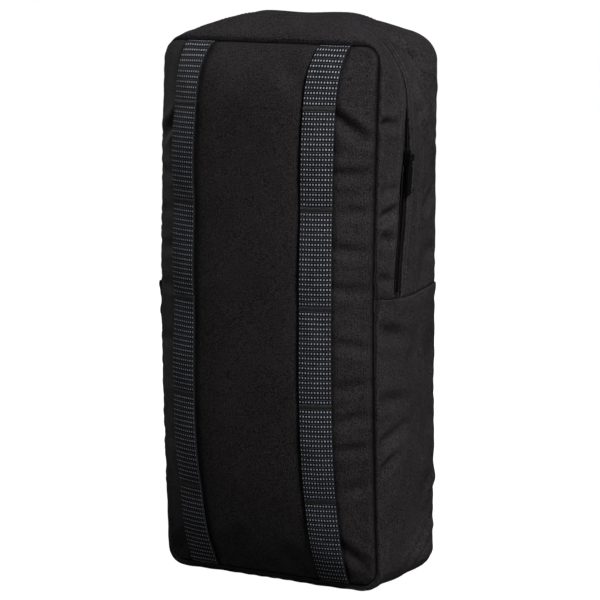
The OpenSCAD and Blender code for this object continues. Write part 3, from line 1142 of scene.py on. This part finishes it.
@dataclass(frozen=True)
class SubAssembly:
    """Pieces that are made together, over one cloth and from one set of finishes."""

    cloth: Cloth
    nodes: dict[str, bpy.types.Object]
    finishes: dict[str, bpy.types.Material]
    under_hem: float = 7 * MM
    bend_length: float = 45 * MM
    seam_room: float = 0.45 * MM

    @property
    def form(self) -> Form:
        """The pouch's filled shape."""
        return self.cloth.form

    @property
    def foot(self) -> float:
        """Height of the lower ends of the band, the flap and the zip, behind the hem."""
        return self.form.fold_z - self.under_hem

    @property
    def seams(self) -> tuple[float, float]:
        """Depths t where the gusset's cloth starts and ends, just clear of both seams."""
        first = self.seam_room / self.form.depth
        return first, 1 - first

    def settle(self, obj: bpy.types.Object, part: Lid, slot: str, *nodes: str) -> None:
        """Paints a piece, ties a piece of the pouch to its body and lets it stand for its nodes.

        Args:
            obj: the piece.
            part: the side of the zip that it belongs to. A piece of the lid keeps its place and is
                tied to no body.
            slot: the record's material slot.
            nodes: the nodes that it replaces.
        """
        paint(obj, self.finishes[slot])
        if part is Lid.LID:
            start = Vector((0, self.form.hinge.y, self.form.fold_z))
            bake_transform(obj)
        else:
            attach(obj, "pouch")
        if nodes:
            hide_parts(*nodes)
        log.info("%s: %d faces", obj.name, len(obj.data.polygons))

    def mouth(self, u: Array, part: Lid = Lid.BODY) -> Array:
        """Gap between the zip's line and the edge of the band, or of the flap.

        It runs straight between the gaps given for a few heights of the lips.

        Args:
            u: share of the way along the zip.
            part: BODY for the band's edge, LID for the flap's, which opens lower down.

        Returns:
            The gap, as depth t.
        """
        p, _ = self.form.run(Path.OVER, u, np.array(self.form.zip_t), self.foot)
        heights = np.array([229, 236, 243, 262, 280, 307, 328, 340, 360, 372, 380, 386, 400]) * MM
        gaps = np.array([1.0, 1.6, 5.0, 4.9, 4.9, 5.4, 6.5, 5.6, 4.6, 3.0, 1.8, 1.2, 1.1]) * MM
        if part is Lid.LID:
            heights[1:3] -= np.array([3, 6]) * MM
            gaps[2:5] = 5.3 * MM
        return np.interp(p[..., 2], heights, gaps) / self.form.depth

    def beside_mouth(self, part: Lid, inset: float) -> Callable[[Array], Array]:
        """Line beside the mouth, an inset in metres from its edge on the band or on the flap."""
        side, f = (-1 if part is Lid.BODY else 1), self.form
        return lambda u: f.zip_t + side * self.mouth(u, part) + side * inset / f.depth

    def strip(
        self, name: str, path: Path, edges: tuple[Callable[[Array], Array], ...], cut: Section,
        steps: int, lower: float = 0.0,
    ) -> bpy.types.Object:
        """Strip of gusset between two edges.

        Args:
            name: the piece's name.
            path: over the top or under the base.
            edges: depth t of the first and the last edge, for each share of the way along.
            cut: the strip's section.
            steps: points along the strip.
            lower: how far its two ends stand below the foot of the zip.

        Returns:
            The new object.
        """
        u, foot = np.linspace(0, 1, steps)[:, None], self.foot - lower
        a, b = (edge(u) for edge in edges)
        t = a + (b - a) * cut.across[None] + cut.reach[None] / self.form.depth
        t = np.clip(t, 0.004, 0.996)
        grid = self.cloth.gusset(path, u, t, cut.down[None], foot)
        middle, _ = self.form.run(path, u[:, 0], np.array(0.5), foot)
        along = run_length(middle)[:, None]
        uv = np.stack(np.broadcast_arrays(along, t * self.form.depth), -1)
        # Painted shade on the inner faces and the inner halves of folded edges, which darkens the
        # zip's mouth.
        inner_face_shade = 0.85 * grown(cut.down / self.form.ply - 0.5)
        return loft(name, grid, uv, np.maximum(self.shade(path, grid, t), inner_face_shade[None]))

    def shade(self, path: Path, grid: Array, t: Array) -> Array:
        """Painted shade on the gusset's points, in the seams and above the hem's folded edge.

        Args:
            path: over the top or under the base.
            grid: the points.
            t: their depths.

        Returns:
            Painted shade from 0 to 1: a Gaussian beside each seam, and one above the hem.
        """
        painted_shade_level = seam_shade(np.minimum(t, 1 - t) * self.form.depth)
        if path is Path.OVER:
            # Painted shadow along the top of the hem's folded edge.
            above = grid[..., 2] - self.form.hem_line(t) - 0.9 * MM
            painted_shade_level = np.maximum(painted_shade_level, 0.9 * bell(above, 1.3 * MM))
        return painted_shade_level


@dataclass(frozen=True)
class Panels(SubAssembly):
    """The front panel, and the rear panel as one cloth."""

    rows: int = 210
    columns: int = 100
    edge_room: float = 0.02 * MM
    web_dip: float = 0.9 * MM
    dip_width: float = 1.7 * MM

    def build(self) -> None:
        """Both panels, with a dip and painted shade beside each edge of the webbings, and painted
        shade at their seams.
        """
        f, room = self.form, self.edge_room
        z = np.clip(f.mid_z + f.half_h * eased(self.rows), f.seam_low + room, f.seam_high - room)
        x = eased(self.columns)[None] * f.seam_x(z[:, None])
        edges = f.over_panel(f.web_place + np.array([-1, 1]) * f.web_half, z)
        z = z[:, None] + 0 * x
        lift = np.concatenate([0 * x, 0 * x - f.ply], 1)
        x, z = np.concatenate([x, x[:, ::-1]], 1), np.concatenate([z, z], 1)
        # Painted shade beside the panels' seams.
        uv, painted_shade_level = np.stack([x, z], -1), seam_shade(f.inset(x, z)[0])
        beside = sum(bell(np.abs(x) - edges[:, i, None], self.dip_width) for i in (0, 1))
        face = self.cloth.front(x, z, lift - self.web_dip * beside)
        # Painted shade along each edge of the webbings, added to the seams' painted shade.
        front = loft("front_panel_cloth", face, uv, np.maximum(painted_shade_level, 0.75 * beside))
        self.settle(front, Lid.BODY, "panel_cloth", "front_panel")
        rear = loft("rear_panel_cloth", self.cloth.rear(x, z, lift), uv, painted_shade_level)
        self.settle(rear, Lid.LID, "panel_cloth", "rear_panel_lower", "rear_panel_upper")


@dataclass(frozen=True)
class Shell(SubAssembly):
    """The strips of the gusset: band, flap, the lid's rear strip, lower gusset and its hem."""

    strip_gap: float = 0.05 * MM
    hem_r: float = 0.8 * MM

    def build(self) -> None:
        """Every strip, from the front seam to the rear one, and then the hem."""
        f, ply = self.form, self.form.ply
        first, last = self.seams
        flap_end = f.zip_t + (f.mouth + f.flap_w) / f.depth
        rear_start = flap_end + self.strip_gap / f.depth
        band_cut = section(34, ply, (False, True), hem=8 * MM, span=28 * MM)
        flap_cut = section(22, ply, (True, False), hem=30 * MM, span=20 * MM)
        for node, part, edges, cut in (
            ("front_band", Lid.BODY, (steady(first), self.beside_mouth(Lid.BODY, ply)), band_cut),
            ("rain_flap", Lid.LID, (self.beside_mouth(Lid.LID, ply), steady(flap_end)), flap_cut),
            ("rear_band", Lid.LID, (steady(rear_start), steady(last)), section(40, ply)),
        ):
            strip = self.strip(f"{node}_cloth", Path.OVER, edges, cut, 380)
            self.settle(strip, part, "gusset_cloth", node)
        whole = steady(first), steady(last)
        lower = self.strip(
            "lower_gusset_cloth", Path.UNDER, whole, section(76, ply), 330, self.strip_gap,
        )
        self.settle(lower, Lid.BODY, "gusset_cloth", "lower_gusset")
        self.make_hem()

    def make_hem(self) -> None:
        """The lower gusset's turned hem: it laps over the ends of the zip and dies away below."""
        low, fold_r = np.linspace(-13, 0, 12) * MM, self.hem_r
        outer = np.interp(low / MM, [-13, -9.5, -6, -3, 0], [-0.1, 0.5, 1.0, 1.35, 1.5]) * MM
        fold = fold_r * (1 + np.cos(HALF_ROUND)) + outer[0]
        z_loop = np.concatenate([low, fold_r * np.sin(HALF_ROUND), low[::-1]])[None]
        out_loop = np.concatenate([outer, fold, np.full(len(low), -0.25 * MM)])[None]
        t = np.linspace(*self.seams, 120)[:, None]
        z = self.form.hem_line(t) + z_loop
        uv = np.stack(np.broadcast_arrays(t * self.form.depth, z), -1)
        for side, word in SIDES:
            wave = 0.25 * MM * np.sin(t * 31 + side)
            grid = self.cloth.beside(side, t, z, out_loop + wave * (out_loop > 0))
            hem = loft(f"gusset_hem_{word}", grid, uv)
            self.settle(hem, Lid.BODY, "hem_cloth", "lower_gusset_hem")


@dataclass(frozen=True)
class Bindings(SubAssembly):
    """Binding tape round the seams inside."""

    edges: tuple[float, float] = (2.2 * MM, 9.0 * MM)
    half_thick: float = 0.8 * MM

    def build(self) -> None:
        """Four lengths of tape, over the top and under the base at both seams."""
        f = self.form
        near_front = np.array(self.edges) / f.depth
        near_rear = 1 - near_front[::-1]
        v = np.linspace(0, 2 * math.pi, 16, endpoint=False) + math.pi / 16
        across = 0.5 - 0.5 * np.cos(v)
        bulge = np.sign(np.sin(v)) * np.abs(np.sin(v)) ** 0.5
        cut = Section(across, 0 * across, f.ply + f.ply_gap + self.half_thick * (1 - bulge))
        for name, path, depths, part, node in (
            ("front_binding_top", Path.OVER, near_front, Lid.BODY, "front_seam_binding"),
            ("front_binding_base", Path.UNDER, near_front, Lid.BODY, "front_seam_binding"),
            ("rear_binding_top", Path.OVER, near_rear, Lid.LID, "rear_seam_binding_upper"),
            ("rear_binding_base", Path.UNDER, near_rear, Lid.BODY, "rear_seam_binding_lower"),
        ):
            obj = self.strip(name, path, tuple(steady(t) for t in depths), cut, 200)
            self.settle(obj, part, "binding", node)


@dataclass(frozen=True)
class ZipRows(SubAssembly):
    """Both tapes and both halves of the coil."""

    tape_edges: tuple[float, float] = (4.0 * MM, 14.4 * MM)
    tape_thick: float = 0.6 * MM
    tape_depth: float = 2.6 * MM
    pitch: float = 1.45 * MM
    wire: float = 0.26 * MM
    per_turn: int = 10
    places: int = 5

    def build(self) -> None:
        """A tape and a coil half on each side of the zip's line."""
        f = self.form
        near, far = (edge / f.depth for edge in self.tape_edges)
        tape = section(10, self.tape_thick, top=self.tape_depth)
        for word, part, a, b, side in (
            ("front", Lid.BODY, f.zip_t - far, f.zip_t - near, -1.0),
            ("rear", Lid.LID, f.zip_t + near, f.zip_t + far, 1.0),
        ):
            name = f"zip_tape_{word}"
            obj = self.strip(f"{name}_cloth", Path.OVER, (steady(a), steady(b)), tape, 300)
            self.settle(obj, part, "zip_tape", name)
            coil = self.coil(f"zip_coil_{word}_turns", side)
            self.settle(coil, part, "zip_coil", f"zip_coil_{word}")

    def coil(self, name: str, side: float) -> bpy.types.Object:
        """Half of the coil: one filament wound along the edge of its tape.

        Each point is the zip's line, moved half a coil to the side and below the cloth, plus a
        flattened circle that turns once in each pitch.

        Args:
            name: the piece's name.
            side: -1 for the front half, 1 for the rear half.

        Returns:
            The new object.
        """
        f, per_turn, places = self.form, self.per_turn, self.places
        start = f.fold_z + 5.5 * MM
        line, up = f.run(Path.OVER, np.linspace(0, 1, 2400), np.array(f.zip_t), start)
        turns = int(run_length(line)[-1] / self.pitch)
        index = np.linspace(0, len(line) - 1, turns * per_turn)
        centre, n = pick(line, index), pick(up, index)
        a = np.arange(len(index)) * 2 * math.pi / per_turn + (0 if side < 0 else math.pi)
        squeeze = np.sign(np.cos(a)) * np.abs(np.cos(a)) ** 0.8
        sideways, below = 2.45 * MM + 1.05 * MM * squeeze, 1.5 * MM + 0.82 * MM * np.sin(a)
        wound = centre + side * BACK * sideways[:, None] - n * below[:, None]
        way, run = np.gradient(wound, axis=0), np.gradient(centre, axis=0)
        way /= np.linalg.norm(way, axis=1, keepdims=True)
        one = np.cross(way, run)
        one /= np.linalg.norm(one, axis=1, keepdims=True)
        two = np.cross(way, one)
        v = (np.arange(places) * 2 * math.pi / places)[None, :, None]
        ring = wound[:, None] + self.wire * (one[:, None] * np.cos(v) + two[:, None] * np.sin(v))
        return mesh_object(name, ring.reshape(-1, 3), tube_faces(len(index), places))


@dataclass(frozen=True)
class Webbing(SubAssembly):
    """Two webbings with ribs, held by bar tacks and slack between them."""

    thick: float = 1.5 * MM
    rest: float = 0.4 * MM
    edge_r: float = 0.5 * MM
    rib: float = 0.1 * MM
    tack_rows: float = 0.45 * MM
    tack_half: float = 12.2 * MM
    tack_stray: float = 0.18 * MM

    def build(self) -> None:
        """Each strap with its five tacks. Both ends dive into the panel's seams."""
        f, repeat, edge_r = self.form, RibbedWebbing.repeat, self.edge_r
        z = np.arange(f.seam_low + edge_r, f.seam_high - edge_r, repeat / 6)
        v = np.linspace(edge_r - f.web_half, f.web_half - edge_r, 25)
        out, rise = edge_r * np.sin(HALF_ROUND), 0.5 + 0.5 * np.cos(HALF_ROUND)
        s = np.roll(np.concatenate([v, v[-1] + out, v[::-1], v[0] - out[::-1]]), 2)
        share = np.roll(np.concatenate([v * 0 + 1, rise, v * 0, rise[::-1]]), 2)[None]
        bulge = self.slack(z)[:, None]
        rib = self.rib * np.cos(2 * math.pi * (z[:, None] / repeat - 0.45))
        bow = 0.5 * MM * (1 - (s[None] / f.web_half) ** 2) * (bulge / MM)
        lift = self.rest + bulge + bow + self.thick * share + rib * (share > 0.5)
        dive = bell(np.minimum(z - f.seam_low, f.seam_high - z)[:, None], 5 * MM)
        lift = lift * (1 - dive) + (share - 0.6) * 0.9 * MM * dive
        x = f.over_panel(f.web_place + s, z)
        flat = np.stack(np.broadcast_arrays(s[None], z[:, None]), -1)
        for side, word in SIDES:
            grid = self.cloth.front(side * x, z[:, None] + 0 * x, lift, creased=False)
            strap = loft(f"webbing_{word}_strap", grid, flat)
            self.settle(strap, Lid.BODY, "webbing", f"webbing_{word}")
            tacks = self.tacks(word, side)
            self.settle(tacks, Lid.BODY, "thread", f"bar_tacks_{word}")
            # The tacks take the darker thread, as painted shade.
            paint(tacks, self.finishes["tack_thread"])

    def tack_heights(self) -> Array:
        """Heights of the five bar tacks, from the frame."""
        (low, high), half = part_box("bar_tacks_right"), 1.5 * MM
        return np.linspace(low.z + half, high.z - half, 5)

    def slack(self, z: Array) -> Array:
        """Lift of the webbing between its tacks: a half wave in each loop.

        Args:
            z: heights.

        Returns:
            The lift at each height, in metres.
        """
        f = self.form
        knots = np.concatenate([[f.seam_low], self.tack_heights(), [f.seam_high]])
        index = np.interp(z, knots, np.arange(len(knots)))
        loop = np.clip(index.astype(int), 0, len(knots) - 2)
        size = np.array([0.7, 1.3, 1.0, 1.25, 1.1, 0.7])[loop] * MM
        return size * np.abs(np.sin(math.pi * index)) ** 0.8

    def tacks(self, word: str, side: float) -> bpy.types.Object:
        """Five bar tacks, each a dense row of short stitches across the webbing.

        Args:
            word: the side, as in the names.
            side: 1 for the right side, -1 for the left.

        Returns:
            The five tacks as one object.
        """
        f, stray, rng = self.form, self.tack_stray, np.random.default_rng(TACK_SEED)
        heights = np.repeat(self.tack_heights(), 2) + np.tile([-1, 1], 5) * self.tack_rows
        s = f.web_place + np.linspace(-self.tack_half, self.tack_half, 50)
        x = f.over_panel(s, heights)
        z = heights[:, None] + rng.normal(0, stray, x.shape)
        lift = self.rest + self.thick + rng.uniform(0, stray, x.shape)
        at, above = (
            self.cloth.front(side * x, height, lift, creased=False).reshape(-1, 3)
            for height in (z, z + MM)
        )
        lean = np.tile([0.12, -0.12], x.size // 2)[:, None] * np.array([1.0, 0, 0])
        up = np.tile(-BACK, (len(at), 1))
        return stitches(f"bar_tacks_{word}_thread", at, (above - at) / MM + lean, up, TACK)


@dataclass(frozen=True)
class Stitching(SubAssembly):
    """Topstitching beside the mouth, along the flap's root and round the hem."""

    mouth_inset: float = 5.6 * MM
    root_inset: float = 2.4 * MM
    hem_inset: float = 3.8 * MM
    hem_out: float = 1.28 * MM
    proud: float = 0.05 * MM
    start: float = 8 * MM

    def build(self) -> None:
        """Three rows over the top, and one round the hem on each side."""
        f, inset = self.form, self.mouth_inset
        ridge = f.zip_t + (f.mouth + f.flap_w + self.root_inset) / f.depth
        self.topstitch("band_stitches", Lid.BODY, self.beside_mouth(Lid.BODY, inset))
        self.topstitch("flap_stitches", Lid.LID, self.beside_mouth(Lid.LID, inset))
        self.topstitch("flap_root_stitches", Lid.LID, steady(ridge))
        t = np.linspace(0.03, 0.97, 400)
        z = f.hem_line(t) - self.hem_inset
        for side, word in SIDES:
            line = self.cloth.beside(side, t, z, np.full_like(t, self.hem_out))
            up = np.tile([side, 0.0, 0.0], (len(line), 1))
            self.settle(stitch_row(f"hem_stitches_{word}", line, up), Lid.BODY, "thread")

    def topstitch(self, name: str, part: Lid, where: Callable[[Array], Array]) -> None:
        """Row of stitches along a gusset strip over the top.

        Args:
            name: the piece's name.
            part: the side of the zip that the strip belongs to.
            where: depth t of the row for each share of the way along.
        """
        u, foot = np.linspace(0, 1, 1600), self.foot + self.start
        line = self.cloth.gusset(Path.OVER, u, where(u), np.array(-self.proud), foot)
        _, up = self.form.run(Path.OVER, u, where(u), foot)
        self.settle(stitch_row(name, line, up), part, "thread")


@dataclass(frozen=True)
class ZipMetal(SubAssembly):
    """Sliders and pulls: the frame's own shapes with their edges broken."""

    edge: float = 0.18 * MM

    def build(self) -> None:
        """A cleaned copy of each casting. The stops keep the frame's shape."""
        for node in ("zip_slider_right", "zip_slider_left", "zip_pull_right", "zip_pull_left"):
            mesh = self.nodes[node].data.copy()
            work = bmesh.new()
            work.from_mesh(mesh)
            bmesh.ops.remove_doubles(work, verts=work.verts, dist=1e-6)
            bmesh.ops.dissolve_limit(
                work, angle_limit=math.radians(2), verts=work.verts, edges=work.edges
            )
            work.to_mesh(mesh)
            work.free()
            obj = bpy.data.objects.new(f"{node}_cast", mesh)
            bpy.context.scene.collection.objects.link(obj)
            bevel = obj.modifiers.new("edge", "BEVEL")
            bevel.width, bevel.segments, bevel.limit_method = self.edge, 2, "ANGLE"
            bevel.angle_limit = math.radians(40)
            mesh.polygons.foreach_set("use_smooth", np.ones(len(mesh.polygons), bool))
            obj.modifiers.new("normals", "WEIGHTED_NORMAL")
            paint(obj, self.finishes["black_metal"])
            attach(obj, node.replace("zip_", ""))
            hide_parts(node)
            log.info("%s: %d faces", obj.name, len(mesh.polygons))
        paint(self.nodes["zip_stops"], self.finishes["zip_coil"])


# ---- Studio ----


@dataclass(frozen=True)
class Softbox:
    """A soft rectangular light."""

    name: str
    place: tuple[float, float, float]
    size: tuple[float, float]
    power: float

    def light(self, target: Vector) -> None:
        """Adds the light.

        Args:
            target: the point that it faces, in metres.
        """
        data = bpy.data.lights.new(self.name, "AREA")
        data.shape, data.energy = "RECTANGLE", self.power
        data.size, data.size_y = self.size
        obj = bpy.data.objects.new(self.name, data)
        obj.location = self.place
        obj.rotation_euler = (target - obj.location).to_track_quat("-Z", "Y").to_euler()
        bpy.context.scene.collection.objects.link(obj)


SOFTBOXES = (
    Softbox("key_front", (0.1, -0.8, 1.35), (0.6, 0.6), 1.1),
    Softbox("side_right", (1.1, -0.6, 1.15), (0.42, 0.42), 31),
    Softbox("top", (0.1, 0.25, 1.6), (0.9, 0.9), 1.2),
    Softbox("rear_fill", (-0.5, 1.4, 0.1), (0.7, 0.7), 9),
    Softbox("left_fill", (-1.4, 0.1, 0.8), (0.6, 0.6), 9),
)


AIM = Vector((-0.4, 17.8, 222.3))
FLOOR_HALF = 12.0
SURROUND_LIGHT = 0.05


def make_camera() -> None:
    """Sets a long lens a little above the pouch, to the right of its front."""
    turn, tilt, far = math.radians(29.14), math.radians(9.43), 2.1413
    level = math.cos(tilt)
    back = Vector((math.sin(turn) * level, -math.cos(turn) * level, math.sin(tilt)))
    data = bpy.data.cameras.new("camera")
    data.lens, data.sensor_width, data.clip_end = 158.6, 36, 60
    camera = bpy.data.objects.new("camera", data)
    camera.location = AIM * MM + back * far
    camera.rotation_euler = (-back).to_track_quat("-Z", "Y").to_euler()
    bpy.context.scene.collection.objects.link(camera)
    bpy.context.scene.camera = camera


def make_studio() -> None:
    """Pale floor, even surroundings and the softboxes."""
    scene = bpy.context.scene
    square = (-1, -1), (1, -1), (1, 1), (-1, 1)
    corners = [(x * FLOOR_HALF, y * FLOOR_HALF, 0) for x, y in square]
    mesh = bpy.data.meshes.new("floor")
    mesh.from_pydata(corners, [], [(0, 1, 2, 3)])
    floor = bpy.data.objects.new("floor", mesh)
    scene.collection.objects.link(floor)
    g = Graph("floor_paper")
    paint(floor, g.finish({
        "Base Color": (0.2, 0.2, 0.2, 1), "Roughness": 0.9, "Specular IOR Level": 0.1,
        "Emission Color": (1, 1, 1, 1),
        "Emission Strength": g.add("ShaderNodeLightPath").outputs["Is Camera Ray"],
    }))
    world = bpy.data.worlds.new("surroundings")
    world.use_nodes = True
    tree = world.node_tree
    seen = tree.nodes.new("ShaderNodeLightPath").outputs["Is Camera Ray"]
    level = tree.nodes.new("ShaderNodeMapRange")
    level.inputs["To Min"].default_value = SURROUND_LIGHT
    level.inputs["To Max"].default_value = 1.0
    tree.links.new(seen, level.inputs["Value"])
    tree.nodes["Background"].inputs["Color"].default_value = (1, 1, 1, 1)
    tree.links.new(level.outputs["Result"], tree.nodes["Background"].inputs["Strength"])
    scene.world = world
    for box in SOFTBOXES:
        box.light(Vector((0, 0, 0.23)))
    scene.view_settings.view_transform = "Standard"


def main() -> None:
    """Loads the frame, builds the visible pouch and sets up the camera and the studio."""
    logging.basicConfig(level=logging.INFO, format="%(name)s: %(message)s")
    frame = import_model()
    cloth = Cloth(Form.of_frame(frame))
    finishes = {slot: finish.material() for slot, finish in FINISHES.items()}
    for kind in (Panels, Shell, Bindings, ZipRows, Webbing, Stitching, ZipMetal):
        kind(cloth, frame["nodes"], finishes).build()
    make_camera()
    make_studio()


if __name__ == "__main__":
    main()
